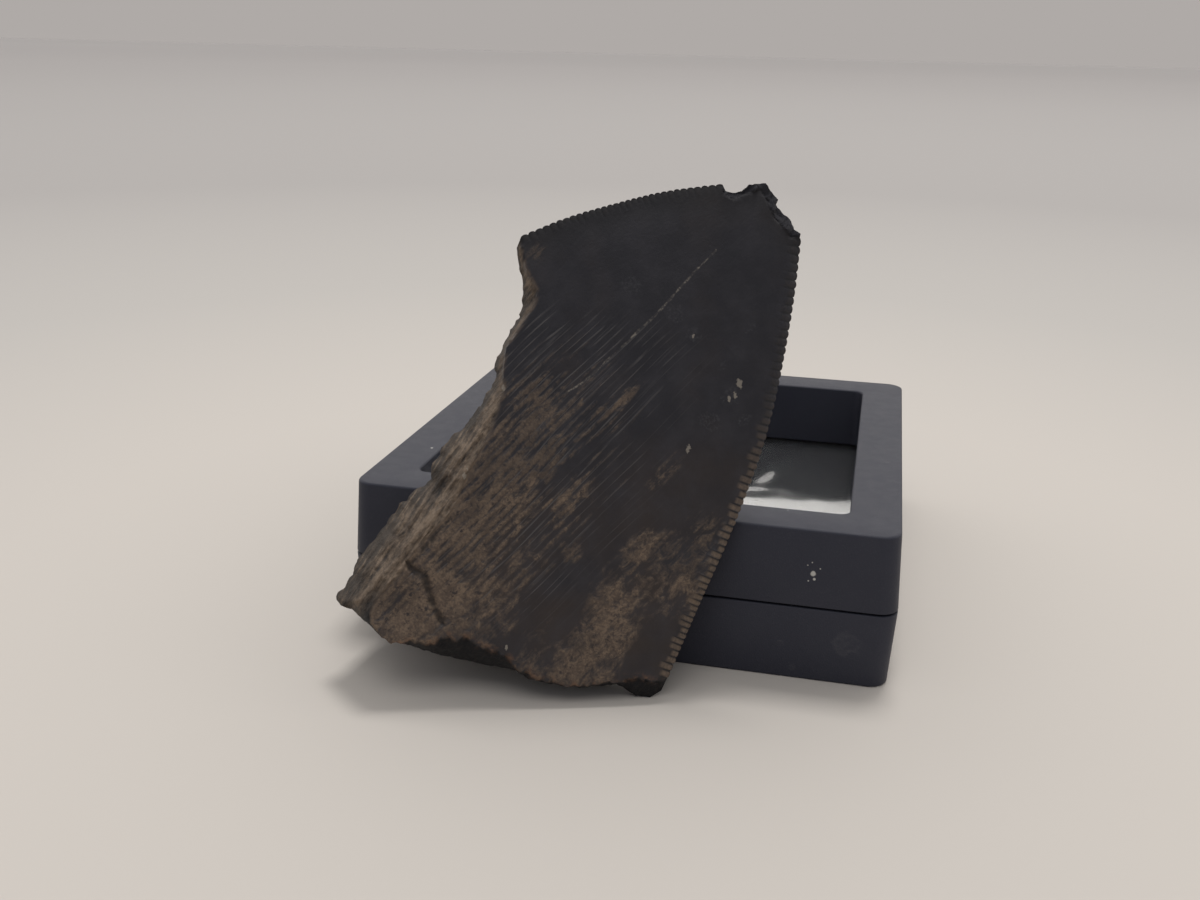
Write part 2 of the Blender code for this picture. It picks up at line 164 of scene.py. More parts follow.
class Finish(Nodes):
    # a material being made

    def __init__(self, name, palette, **constants):
        self.material = bpy.data.materials.new(name)
        self.material.use_nodes = True
        super().__init__(self.material.node_tree, palette)
        self.shader = self.tree.nodes["Principled BSDF"]
        self.paint(**constants)

    def places(self):
        # where a point is on the piece, in mm
        return self.scaled(self.node("TexCoord", out="Object"), 1 / mm)

    def cloud(self, place, size, detail=3.0, roughness=0.55, distortion=0.0):
        sockets = {"Vector": place, "Scale": 1 / size, "Detail": detail, "Roughness": roughness,
                   "Distortion": distortion}
        return self.node("TexNoise", None, sockets)

    def strands(self, place, angle, size, *grain):
        # a cloud drawn out at this angle to this length and width
        long, wide = size
        turned = (0.0, -math.radians(angle), 0.0)
        sockets = {"Vector": place, "Rotation": turned, "Scale": (long, 1.0, wide)}
        return self.cloud(self.node("Mapping", {"vector_type": "TEXTURE"}, sockets), 1.0, *grain)

    def layer(self, name):
        # a value stored on the mesh
        return self.node("Attribute", {"attribute_name": name}, None, "Fac")

    def spot(self, place, centre, radius, wobble):
        # 1 inside a small round mark, 0 outside; the wobble makes its border uneven
        away = self.vector("DISTANCE", place, centre, "Value") + wobble * (1.6 * radius)
        return away.ramp(radius, 0.55 * radius)

    def bump(self, height, distance, strength=1.0):
        sockets = {"Height": height, "Distance": distance * mm, "Strength": strength}
        self.plug(self.shader.inputs["Normal"], self.node("Bump", None, sockets))

    def paint(self, **sockets):
        for key, value in sockets.items():
            self.plug(self.shader.inputs[key.replace("_", " ")], value)


def newPiece(name, data, finish, sharp):
    # an object from a mesh, sharp where it turns by more than this many degrees
    data.shade_smooth()
    data.set_sharp_from_angle(angle=math.radians(sharp))
    data.materials.append(finish)
    return newObject(name, data, corner)


def closedMesh(name, mesh):
    # a bmesh as mesh data, with its faces outwards
    bmesh.ops.recalc_face_normals(mesh, faces=mesh.faces)
    data = bpy.data.meshes.new(name)
    mesh.to_mesh(data)
    mesh.free()
    return data


def heading(angle):
    return math.cos(math.radians(angle)), math.sin(math.radians(angle))


def mound(x, y, shape):
    # 1 in the middle of an oval, 0 well outside
    middleX, middleY, along, across, angle = shape
    c, s = heading(angle)
    a = ((x - middleX) * c + (y - middleY) * s) / along
    b = ((y - middleY) * c - (x - middleX) * s) / across
    return np.exp(-a * a - b * b)


studio = {
    "floorSize": 8000.0,
    # distance, as a share of the reach, and the floor's colour there; painted light: the floor darkens
    # some way out and pales again far off, standing in for how the light falls across it
    "floorReach": 4000.0,
    "floor": ((0.024, tone(197, 191, 184)), (0.054, tone(184, 180, 175)), (0.12, tone(171, 167, 164)),
              (0.27, tone(178, 174, 171)), (0.6, tone(198, 193, 190)), (1.0, tone(208, 203, 200))),
    "horizon": tone(175, 170, 167),  # where the floor ends
    "back": (1.31, 1.27, 1.23, 1.0),  # the light from behind
    "top": (0.4, 0.4, 0.4, 1.0),  # from straight above
    "front": (0.29, 0.3, 0.335, 1.0),  # and from the side of the camera
    # where each passes into the next, as shares of the way back or up
    "frontToBack": (-0.5, 0.6),
    "sideToTop": (0.55, 0.85),
    "horizonToSide": (0.04, 0.3),
    "lamps": {
        "key": {"place": (130, 620, 2100), "size": (560, 560), "power": 21.8},
        "fill": {"place": (150, -700, 1400), "size": (1000, 800), "power": 5.0},
    },
    "aim": (35, 35, 0),
    "lampColour": (1.0, 0.985, 0.97),
}


def makeFloor():
    half = studio["floorSize"] / 2 * mm
    data = bpy.data.meshes.new("floor")
    data.from_pydata([(-half, -half, 0), (half, -half, 0), (half, half, 0), (-half, half, 0)], [],
                     [(0, 1, 2, 3)])
    floor = newObject("floor", data)
    finish = Finish("floor_card", studio, Roughness=0.8, Specular_IOR_Level=0.15)
    away = finish.vector("DISTANCE", finish.places(), (0.0, 0.0, 0.0), "Value")
    share = away * (1 / studio["floorReach"])
    # painted light: the floor's colour changes with distance from its middle
    finish.paint(Base_Color=finish.node("ValToRGB", {"stops": studio["floor"]}, {0: share}))
    data.materials.append(finish.material)


def makeWorld():
    # pale at the horizon; higher up, bright behind the object and dim on the camera's side
    world = bpy.data.worlds.new("studio")
    scene.world = world
    world.use_nodes = True
    nodes = Nodes(world.node_tree, studio)
    way = nodes.node("TexCoord", out="Generated")
    backward = nodes.node("SeparateXYZ", None, {0: way}, "Y")
    upward = nodes.node("SeparateXYZ", None, {0: way}, "Z")
    around = nodes.mix(backward.ramp(*studio["frontToBack"]), "front", "back")
    above = nodes.mix(upward.ramp(*studio["sideToTop"]), around, "top")
    sky = nodes.mix(upward.ramp(*studio["horizonToSide"]), "horizon", above)
    nodes.plug(world.node_tree.nodes["Background"].inputs["Color"], sky)


def makeLamp(name, lamp):
    data = bpy.data.lights.new(name, "AREA")
    data.shape = "RECTANGLE"
    data.size, data.size_y = (side * mm for side in lamp["size"])
    data.energy = lamp["power"]
    data.color = studio["lampColour"]
    light = newObject(name, data, corner + Vector(lamp["place"]) * mm)
    aim = corner + Vector(studio["aim"]) * mm - light.location
    light.rotation_euler = aim.to_track_quat("-Z", "Y").to_euler()


setCamera()
makeFloor()
makeWorld()
for name, lamp in studio["lamps"].items():
    makeLamp(name, lamp)
scene.view_settings.view_transform = "Standard"
print("studio ready")


# the display box is two alike frames, seam to seam; in mm
box = {
    "side": 70.0,
    "height": 20.0,
    "seam": 10.0,
    "gap": 0.3,  # between the frames
    "rim": 6.8,  # from the outside to the window
    "draft": 0.45,  # the walls lean in by this much, away from the seam
    "cornerRadius": 2.4,
    "windowRadius": 1.5,
    "topFillet": 0.34,
    "seamFillet": 0.12,
    "windowFillet": 0.3,
    # where the film is held: its inset, its height over the seam and its corner
    "pocket": (3.3, 0.36, 0.2),
    "arcSteps": 10,
    "filletSteps": 4,
    "sharp": 35,
}
plastic = {
    "colour": tone(54, 55, 64),
    "worn": tone(65, 66, 73),
    "dust": tone(186, 184, 178),
    "roughness": (0.44, 0.5),
    # sizes of the moulded grain, the smears and the broad unevenness
    "grain": 0.16,
    "smear": 2.2,
    "broad": 9.0,
    # x, y, z, radius: flecks of dust that stick to the frames
    "flecks": (
        (59.6, 0.2, 14.5, 0.36), (58.9, 0.2, 15.5, 0.12), (59.4, 0.2, 15.9, 0.16),
        (59.8, 0.2, 13.8, 0.18), (59.1, 0.2, 13.5, 0.12), (60.4, 0.2, 15.2, 0.1), (5.4, 16.0, 20.0, 0.2),
        (55.7, 6.2, 20.0, 0.14), (62.1, 19.1, 20.0, 0.12), (57.5, 0.3, 19.7, 0.12),
        (45.3, 0.2, 19.1, 0.1),
    ),
    # x, y, z, radius: pale rubbed places
    "scuffs": (
        (58.0, 0.2, 1.5, 0.55), (64.1, 0.2, 5.5, 2.1), (56.3, 0.2, 4.8, 0.5), (67.6, 28.0, 20.0, 0.5),
    ),
}


def filletPoints(centre, radius, start):
    # a quarter turn, clockwise in (inset, height), from this angle in degrees
    angles = np.radians(start - np.linspace(0, 90, box["filletSteps"] + 1))
    return [(centre[0] + radius * math.cos(a), centre[1] + radius * math.sin(a)) for a in angles]


def frameSection():
    # the rim cut across, as (inset from the widest place, height over the seam)
    depth = box["height"] - box["seam"] - box["gap"] / 2
    low, top, edge = box["seamFillet"], box["topFillet"], box["windowFillet"]
    inset, pocket, bend = box["pocket"]
    points = filletPoints((low, low), low, 270)
    points += filletPoints((box["draft"] + top, depth - top), top, 180)
    points += filletPoints((box["rim"] - edge, depth - edge), edge, 90)
    points += [(box["rim"], pocket + bend), (box["rim"] - bend, pocket), (inset, pocket), (inset, 0.0)]
    return points


def ringPoint(inset, turn, step):
    # a point of the square with round corners that lies this far in; four turns make the round
    share = inset / box["rim"]
    radius = box["cornerRadius"] * (1 - share) + box["windowRadius"] * share
    reach = box["side"] / 2 - inset - radius
    angle = math.radians(90 * (turn + step / box["arcSteps"]))
    centre = Matrix.Rotation(math.radians(90 * turn), 2) @ Vector((reach, reach))
    return centre + Vector((math.cos(angle), math.sin(angle))) * radius


def makeFrame(name, finish, *, upper):
    section = frameSection()
    middle = box["side"] / 2
    mesh = bmesh.new()
    loops = []
    for turn in range(4):
        for step in range(box["arcSteps"] + 1):
            loop = []
            for inset, height in section:
                x, y = ringPoint(inset, turn, step)
                height += box["gap"] / 2
                z = box["seam"] + (height if upper else -height)
                loop.append(mesh.verts.new(Vector((x + middle, y + middle, z)) * mm))
            loops.append(loop)
    for here, after in zip(loops, loops[1:] + loops[:1]):
        for k in range(len(section)):
            n = (k + 1) % len(section)
            mesh.faces.new((here[k], after[k], after[n], here[n]))
    frameHalf = newPiece(name, closedMesh(name, mesh), finish, box["sharp"])
    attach(frameHalf, "root")
    return frameHalf


def plasticFinish(name, seed):
    finish = Finish(name, plastic, Specular_IOR_Level=0.14)
    marked = finish.places()
    place = finish.vector("ADD", marked, (seed, 0.0, 0.0))
    grain = finish.cloud(place, plastic["grain"], 2.0, 0.6)
    broad = finish.cloud(place, plastic["broad"], 4.0, 0.6)
    smear = finish.cloud(place, plastic["smear"], 5.0, 0.65)
    uneven = broad.ramp(0.35, 0.75) * 0.2 + grain.ramp(0.5, 0.8) * 0.6
    colour = finish.mix(uneven, "colour", "worn")
    for *centre, radius in plastic["scuffs"]:
        mask = finish.spot(marked, centre, radius, (smear - 0.5) * 2.0)
        colour = finish.mix(mask * smear.ramp(0.3, 0.7) * 0.06, colour, "dust")
    for *centre, radius in plastic["flecks"]:
        colour = finish.mix(finish.spot(marked, centre, radius, smear - 0.5), colour, "dust")
    low, high = plastic["roughness"]
    finish.paint(Base_Color=colour, Roughness=smear.ramp(0.3, 0.7) * (high - low) + low)
    finish.bump(grain, 0.04, 0.7)
    return finish.material


def makeFrames():
    for name, seed, upper in (("frame_lower", 40.0, False), ("frame_upper", 0.0, True)):
        dressed = makeFrame(name + "_shell", plasticFinish(name + "_plastic", seed), upper=upper)
        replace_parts(dressed, name)


makeFrames()
print("frames made")


# a clear film is stretched across each window
film = {
    "side": 62.8,
    "thickness": 0.12,
    "drop": 0.3,  # the lower film's underside lies this far below the gap
    "cells": 104,
    "rise": 0.04,  # the upper film climbs this much where the rim grips it,
    "grip": 0.55,  # and comes down over this distance
    "calm": 4.0,  # the folds reach their full height this far from the rim
    "ripple": (7.0, 0.02),  # length and height
    # soft folds: height, then x, y, half length, half width, angle
    "folds": (
        (-0.12, 54.0, 40.5, 10.0, 5.0, 0.0), (0.5, 51.0, 51.2, 6.4, 2.0, 76.0),
        (0.1, 52.8, 40.6, 3.4, 2.2, 100.0), (0.04, 57.6, 39.0, 2.6, 1.8, 90.0),
        (-0.05, 48.5, 37.5, 2.5, 1.2, 20.0), (0.25, 30.0, 40.0, 9.0, 2.4, -25.0),
        (0.22, 20.0, 22.0, 8.0, 2.2, 40.0), (-0.18, 40.0, 18.0, 10.0, 2.8, 10.0),
    ),
    "sharp": 60,
    "clear": 0.985,
    "ior": 1.5,
    "tint": (0.97, 0.98, 0.98, 1.0),
    "roughness": 0.05,
    "haze": 0.12,  # rougher by this in places
}


def foldHeight(x, y):
    return sum(lift * mound(x, y, shape) for lift, *shape in film["folds"])


def filmHeight(x, y, *, upper):
    inside = min(x, y, box["side"] - x, box["side"] - y) - box["rim"]
    calm = min(1.0, max(0.0, inside / film["calm"]))
    length, ripple = film["ripple"]
    wave = noise.fractal(Vector((x / length, y / length, 3.0 if upper else 9.0)), 0.9, 2.0, 2) * ripple
    if upper:
        rise = film["rise"] * math.exp(-max(inside, 0.0) / film["grip"])
        return rise + calm * (wave + foldHeight(x, y))
    # the lower film only sags
    return calm * (wave - abs(wave) - 0.5 * abs(foldHeight(box["side"] - x, y)))


def makeFilm(name, finish, *, upper):
    low = box["seam"] + box["gap"] / 2 if upper else box["seam"] - box["gap"] / 2 - film["drop"]
    start = (box["side"] - film["side"]) / 2
    last = film["cells"]
    places = [start + film["side"] * k / last for k in range(last + 1)]
    mesh = bmesh.new()
    lower, top = ([[mesh.verts.new(Vector((x, y, low + filmHeight(x, y, upper=upper) + lift)) * mm)
                    for x in places] for y in places] for lift in (0.0, film["thickness"]))
    for j in range(last):
        for i in range(last):
            mesh.faces.new((lower[j][i], lower[j + 1][i], lower[j + 1][i + 1], lower[j][i + 1]))
            mesh.faces.new((top[j][i], top[j][i + 1], top[j + 1][i + 1], top[j + 1][i]))
    for k in range(last):
        sides = (((0, k), (0, k + 1)), ((last, k + 1), (last, k)), ((k + 1, 0), (k, 0)),
                 ((k, last), (k + 1, last)))
        for (a, b), (c, d) in sides:
            mesh.faces.new((lower[a][b], lower[c][d], top[c][d], top[a][b]))
    sheet = newPiece(name, closedMesh(name, mesh), finish, film["sharp"])
    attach(sheet, "root")
    return sheet


def clearFinish():
    finish = Finish("clear_film", film, Transmission_Weight=film["clear"], IOR=film["ior"],
                    Base_Color="tint")
    haze = finish.cloud(finish.places(), 0.5, 2.0)
    finish.paint(Roughness=haze.ramp(0.62, 0.8) * film["haze"] + film["roughness"])
    return finish.material


def makeFilms():
    finish = clearFinish()
    for name, upper in (("film_lower", False), ("film_upper", True)):
        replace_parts(makeFilm(name + "_sheet", finish, upper=upper), name)


makeFilms()
print("films made")


# the tooth: u to the right, v up the face, w from the face through the tooth; in mm
tooth = {
    "lean": 16.3,
    "turn": 18.0,  # the broken side stands further from the box
    "foot": (35.0, -13.46),
    "grain": 51.0,  # the way the broken fibres run
    "splinters": 56.0,  # and the finer ones over them
    "streaks": 44.3,  # the way the streaks on the face run
    "leftEdge": ((-7.2, 55.3), (-2.4, 57.3), (2.4, 58.8), (9.4, 60.6), (16.6, 61.6)),
    "rightEdge": (
        (25.9, 55.4), (25.1, 48.4), (23.5, 39.3), (21.3, 30.5), (17.5, 20.4), (13.8, 12.2), (9.9, 3.2),
    ),
    "oldTip": (26.2, 62.8),
    "lostLeft": ((-50.1, 33.1), (-24.7, 47.0)),
    "lostRight": ((26.7, 64.6), (7.3, -3.8)),
    "tipBreak": (
        (17.0, 60.9), (17.9, 60.7), (18.9, 60.9), (19.7, 61.6), (21.7, 61.8), (22.5, 60.8), (23.3, 59.9),
        (23.1, 59.4), (23.8, 58.5), (24.7, 57.7), (25.2, 56.4), (25.9, 55.9),
    ),
    "footBreak": (
        (9.3, 1.46, 2.0), (8.0, 0.67, 2.2), (6.2, 0.87, 2.2), (3.9, 2.4, 2.2), (1.9, 2.2, 2.3),
        (-0.5, 2.0, 2.4), (-4.2, 2.6, 2.4), (-6.6, 3.2, 2.6), (-8.0, 4.2, 2.8), (-11.7, 4.9, 3.0),
        (-14.3, 5.5, 3.2), (-17.0, 6.1, 3.4), (-19.6, 6.9, 3.8), (-22.2, 7.8, 4.6), (-24.2, 8.6, 5.8),
        (-26.2, 9.8, 7.0), (-27.8, 11.1, 7.6),
    ),
    "sideBreak": (
        (-29.4, 12.2), (-29.4, 13.1), (-28.1, 14.6), (-27.0, 17.1), (-25.8, 18.6), (-24.2, 20.7),
        (-22.6, 22.9), (-21.7, 23.7), (-20.0, 25.5), (-18.2, 26.8), (-18.0, 28.0), (-16.4, 31.1),
        (-13.1, 34.3), (-11.6, 36.4), (-10.1, 39.0), (-10.4, 40.3), (-9.2, 43.0), (-8.5, 44.5),
        (-7.2, 46.4), (-7.1, 47.7), (-6.8, 50.1), (-7.1, 51.5), (-7.4, 52.8), (-7.6, 54.1),
    ),
    "faceTip": (
        (16.3, 60.5), (17.8, 59.7), (19.4, 60.5), (21.0, 60.8), (21.7, 59.6), (22.3, 57.9), (24.5, 55.4),
    ),
    "faceFoot": (
        (8.9, 3.1), (7.6, 3.1), (5.2, 3.5), (1.9, 3.0), (-0.4, 2.8), (-5.2, 3.5), (-7.9, 5.1),
        (-9.2, 6.8), (-11.6, 7.7), (-14.3, 8.9), (-16.8, 8.9), (-20.0, 8.4), (-22.4, 8.4), (-23.6, 9.0),
    ),
    "faceSide": (
        (-24.7, 10.6), (-24.7, 11.9), (-23.9, 13.5), (-22.6, 15.0), (-21.3, 16.0), (-20.4, 17.9),
        (-18.6, 20.1), (-15.9, 22.8), (-14.4, 25.1), (-13.5, 27.8), (-12.2, 30.0), (-11.0, 32.2),
        (-9.5, 36.4), (-9.1, 37.9), (-9.3, 39.8), (-8.9, 42.5), (-7.7, 44.1), (-6.2, 46.3), (-5.4, 47.7),
        (-5.2, 49.1), (-5.7, 50.1), (-6.6, 51.7), (-7.0, 53.8),
    ),
    "thickness": 8.2,
    "thickening": 9.0,  # it fills out this far from a cutting edge
    "bevel": (0.5, 0.8),  # depth and width of the narrow bevel along the cutting edges
    "roll": (0.35, 6.0),  # and of the gentle roll before it
    "footTaper": 2.6,
    # the far side swells towards the lost root
    "root": {"way": (-0.757, -0.654), "start": -16.0, "swell": 0.018, "taper": 3.5},
    "thinnest": 0.6,
    "merge": 3.0,  # over this distance the nearer edge takes over from the other
    "mostStain": 0.7,  # even the brownest places keep dark pores and streaks
    # how far apart the serrations are, at these shares of each edge's length
    "pitches": (((0.0, 0.95), (0.35, 0.76), (0.6, 0.71), (1.0, 0.92)),
                ((0.0, 1.02), (0.5, 0.92), (0.72, 0.84), (0.8, 0.71), (0.9, 0.72), (1.0, 0.95))),
    "scallop": 0.2,
    "rib": (0.12, (1.2, 2.2)),  # height of a serration's rib, and its length on each edge
    "lip": 0.18,  # the step from the enamel down to the fibres
    "breakCurve": 1.5,  # the broken side falls away slowly at first, then steeply
    "waves": ((2.9, 0.2, 0.4), (1.55, 0.13, 2.1)),  # spacing, height, phase of the fibres
    "ridges": (0.92, 0.05),  # spacing and height of the fine ridges on the worn face
    "hairSpacing": 0.85,  # between the pale lines there
    # line, depth, width
    "cracks": ((((-20.5, 17.7), (-19.8, 16.8), (-18.7, 16.1), (-18.3, 15.0), (-17.8, 13.2), (-17.3, 11.8),
                 (-16.6, 10.5)), 0.45, 0.36),
               (((-20.5, 17.1), (-18.9, 19.1), (-17.3, 20.9), (-15.7, 22.6)), 0.2, 0.22)),
    "hollow": (-22.3, 12.6, 2.3, 0.45),  # a dip in the lobe: u, v, radius, depth
    # the fibres' sideways drift: length, size, phase
    "drift": ((5.3, 0.8, 0.0), (2.9, 0.5, 1.0)),
    # unevenness: size, seed and height of the bumps
    "pits": ((2.2, 1.0, 0.35), (0.7, 2.0, 0.22), (0.3, 6.0, 0.1)),
    "crackBorder": ((0.9, 12.0, 0.3), (0.35, 15.0, 0.25)),
    # splinters of each border: where they fade out, in steps from its ends, then size, seed, reach
    "splintered": {
        "faceFoot": (4, (0.9, 61.0, (0.35, 0.6)), (0.4, 71.0, (0.15, 0.3))),
        "sideBreak": (9, (1.3, 4.0, 0.35), (0.5, 14.0, 0.16)),
        "tipBreak": (3, (0.45, 24.0, 0.12)),
        "footBreak": (3, (0.7, 34.0, 0.18)),
    },
    # points of the mesh: how far apart, and how far in from the cutting edges
    "spacing": {"face": 0.44, "break": (0.3, 0.55), "back": 0.9, "rimStep": 0.36, "footStep": 0.34,
                "sideStep": 0.4, "beside": (-0.3, -0.62, -1.0, -1.45, -2.0)},
    # and the room left round the points that stay
    "room": {"beside": 0.16, "border": 0.25, "back": 0.5, "break": 0.2, "face": 0.3},
    "sharp": 75,
}
rolled = tooth["bevel"][0] + tooth["roll"][0]  # w of both faces at a cutting edge


def smoothLine(points, step):
    knots = np.array([points[0], *points, points[-1]], float)
    line = []
    for before, start, end, after in zip(knots, knots[1:], knots[2:], knots[3:]):
        count = max(1, round(np.linalg.norm(end - start) / step))
        for t in np.arange(count)[:, None] / count:
            line.append(0.5 * (2 * start + (end - before) * t
                               + (2 * before - 5 * start + 4 * end - after) * t ** 2
                               + (3 * start - before - 3 * end + after) * t ** 3))
    return np.vstack([*line, knots[-1]])


def straightLine(points, step):
    points = np.array(points, float)
    line = []
    for start, end in zip(points, points[1:]):
        count = max(1, round(np.linalg.norm((end - start)[:2]) / step))
        line.extend(start + (end - start) * t for t in np.arange(count) / count)
    return np.array([*line, points[-1]])


def summed(steps):
    return np.concatenate([[0.0], np.cumsum(steps)])


def nearest(points, line):
    # distance of each point to the line, and how far along it the nearest place is
    line = np.asarray(line)[:, :2]
    start, along = line[:-1], np.diff(line, axis=0)
    length = np.linalg.norm(along, axis=1)
    offset = points[:, None, :] - start
    t = np.clip((offset * along).sum(2) / length ** 2, 0, 1)
    distance = np.linalg.norm(offset - t[..., None] * along, axis=2)
    pick = distance.argmin(axis=1)
    rows = np.arange(len(points))
    return distance[rows, pick], summed(length)[pick] + t[rows, pick] * length[pick]


def nearness(points, line, reach):
    # 1 on the line, 0 well beyond the reach
    return np.exp(-(nearest(points, line)[0] / reach) ** 2)


def insideRing(points, ring):
    x, y = points[:, :1], points[:, 1:]
    ax, ay = ring[:, 0], ring[:, 1]
    bx, by = np.roll(ax, -1), np.roll(ay, -1)
    rise = np.where(by == ay, 1e-9, by - ay)
    crosses = ((ay > y) != (by > y)) & (x < (bx - ax) * (y - ay) / rise + ax)
    return crosses.sum(axis=1) % 2 == 1


def alongEdge(line, distance):
    # the place this far along a line, and the outward direction there
    step = np.diff(line, axis=0)
    reach = summed(np.linalg.norm(step, axis=1))
    place = np.array([np.interp(distance, reach, line[:, k]) for k in (0, 1)])
    segment = min(int(np.searchsorted(reach, distance, side="right")) - 1, len(step) - 1)
    way = step[segment] / np.linalg.norm(step[segment])
    return place, np.array([-way[1], way[0]])


def serrationCount(line, pitches):
    # places along an edge, and how many serrations lie before each of them
    places = np.linspace(0, np.linalg.norm(np.diff(line, axis=0), axis=1).sum(), 400)
    pitch = np.interp(places / places[-1], *np.transpose(pitches))
    passed = summed(np.diff(places) / pitch[1:])
    return places, passed * round(passed[-1]) / passed[-1]


edges = leftLine, rightLine = [smoothLine(tooth[name], 0.5) for name in ("leftEdge", "rightEdge")]
counts = [serrationCount(line, pitches) for line, pitches in zip(edges, tooth["pitches"])]
# the edges as they were, with the tip and the root that are lost
oldLeft = np.vstack([tooth["lostLeft"], leftLine, tooth["oldTip"]])
oldRight = np.vstack([tooth["lostRight"][0], rightLine, tooth["lostRight"][1]])


def edgeDistance(points):
    merge = tooth["merge"]
    left, right = (nearest(points, line)[0] for line in (oldLeft, oldRight))
    return np.maximum(0.0, -merge * np.log(np.exp(-left / merge) + np.exp(-right / merge)))


def thicknessAt(points):
    filled = 1 - np.exp(-edgeDistance(points) / tooth["thickening"])
    return rolled + (tooth["thickness"] - rolled) * filled


def alongAcross(points, angle):
    # how far each point lies along this direction, and across it
    c, s = heading(angle)
    return points @ np.array([c, s]), points @ np.array([-s, c])


def rough(points, across, along, seed, octaves=1, angle=tooth["grain"]):
    # noise drawn out along the grain, about -0.5 to 0.5
    a, b = alongAcross(points, angle)
    return np.array([noise.fractal(Vector((p, q, seed)), 0.8, 2.0, octaves)
                     for p, q in zip(a / along, b / across)])


def plainRough(points, scale, seed):
    return np.array([noise.noise(Vector((u / scale, v / scale, seed))) for u, v in points])


def bumpy(points, bumps):
    return sum(high * plainRough(points, size, seed) for size, seed, high in bumps)


def splintered(name, step):
    # one of the broken borders, with small random shifts
    line = straightLine(tooth[name], step)
    fade, *splinters = tooth["splintered"][name]
    flat = line[:, :2]
    shift = sum(np.column_stack([plainRough(flat, size, seed), plainRough(flat, size, seed + 5)]) * reach
                for size, seed, reach in splinters)
    left = np.arange(len(line))[::-1]
    if name != "sideBreak":  # which starts amid the splinters
        left = np.minimum(left, left[::-1])
    line[:, :2] += shift * np.clip(left / fade, 0, 1)[:, None]
    return line


footBorder = splintered("faceFoot", tooth["spacing"]["footStep"])
faceRing = np.vstack([leftLine, tooth["faceTip"], rightLine, footBorder, tooth["faceSide"]])
faceBorder = np.vstack([faceRing, faceRing[:1]])


def breakLines():
    tip, foot, side = (splintered(name, tooth["spacing"]["rimStep"])
                       for name in ("tipBreak", "footBreak", "sideBreak"))
    return [np.column_stack([tip, thicknessAt(tip)]), foot, np.column_stack([side, thicknessAt(side)])]


breaks = breakLines()
brokenRim = np.vstack(breaks)[::3]
outline = np.vstack([leftLine, breaks[0][:, :2], rightLine, breaks[1][:, :2], breaks[2][:, :2],
                     leftLine[:1]])


def weighted(points, line, values):
    # the line's values carried over to the points, the nearer counting for more
    square = ((points[:, None, :] - line[:, :2]) ** 2).sum(2)
    weight = 1 / (square + 0.05) ** 2
    return (weight * values).sum(1) / weight.sum(1)


def serrationRibs(points):
    # height of the ribs, the same as a share, and how strongly they show
    height, zone = np.zeros(len(points)), np.zeros(len(points))
    high, lengths = tooth["rib"]
    for line, (places, passed), long in zip(edges, counts, lengths):
        inset, reach = nearest(points, line)
        phase = np.interp(reach, places, passed)
        crest = np.abs(np.sin(math.pi * phase)) ** 0.7
        fade = np.clip(1 - inset / (long * (0.8 + 0.25 * np.sin(1.7 * np.floor(phase)))), 0, 1)
        height += high * (crest - 0.6) * fade ** 0.7
        zone = np.maximum(zone, fade)
    return height, np.clip(0.5 + height / high, 0, 1), zone


def fibreRelief(points):
    along, across = alongAcross(points, tooth["grain"])
    drift = sum(size * np.sin(along / length + phase) for length, size, phase in tooth["drift"])
    height = sum(size * np.sin(2 * math.pi * across / spacing + drift + phase)
                 for spacing, size, phase in tooth["waves"])
    splinters = np.abs(rough(points, 1.1, 8.0, 5.0, angle=tooth["splinters"]))
    hairs = rough(points, 0.34, 3.6, 7.0, 2, angle=tooth["splinters"])
    return height + 0.6 * (splinters - 0.2) + 0.3 * hairs


def backHeight(points):
    full = thicknessAt(points)
    shortfall = weighted(points, brokenRim, thicknessAt(brokenRim[:, :2]) - brokenRim[:, 2])
    toRim = nearest(points, brokenRim)[0]
    curl = shortfall * np.exp(-(toRim / tooth["footTaper"]) ** 1.5)
    root = tooth["root"]
    beyond = np.maximum(0, points @ np.array(root["way"]) - root["start"])
    swell = root["swell"] * beyond ** 2 * (1 - np.exp(-(toRim / root["taper"]) ** 2))
    return full - curl + swell + serrationRibs(points)[0] + 0.12 * plainRough(points, 6.0, 3.0)


def ridged(points):
    # fine ridges along the streaks, 0 to 1, and where there are any
    across = alongAcross(points, tooth["streaks"])[1] + 0.5 * plainRough(points, 6.0, 51.0)
    crest = 0.5 + 0.5 * np.sin(2 * math.pi * across / tooth["ridges"][0])
    v = points[:, 1]
    worn = nearness(points, tooth["faceSide"], 15.0)
    worn = worn * np.clip((v - 5) / 10, 0, 1) * np.clip((49 - v) / 8, 0, 1)
    return crest, worn * np.clip(0.8 + 1.4 * rough(points, 1.6, 5.0, 55.0, angle=tooth["streaks"]), 0, 1)


def crackDepth(points):
    depth, mask = np.zeros(len(points)), np.zeros(len(points))
    wander = bumpy(points, tooth["crackBorder"])
    for line, deep, wide in tooth["cracks"]:
        shape = np.exp(-(np.maximum(0, nearest(points, smoothLine(line, 0.6))[0] + wander) / wide) ** 2)
        depth += deep * shape
        mask = np.maximum(mask, shape)
    return depth, mask


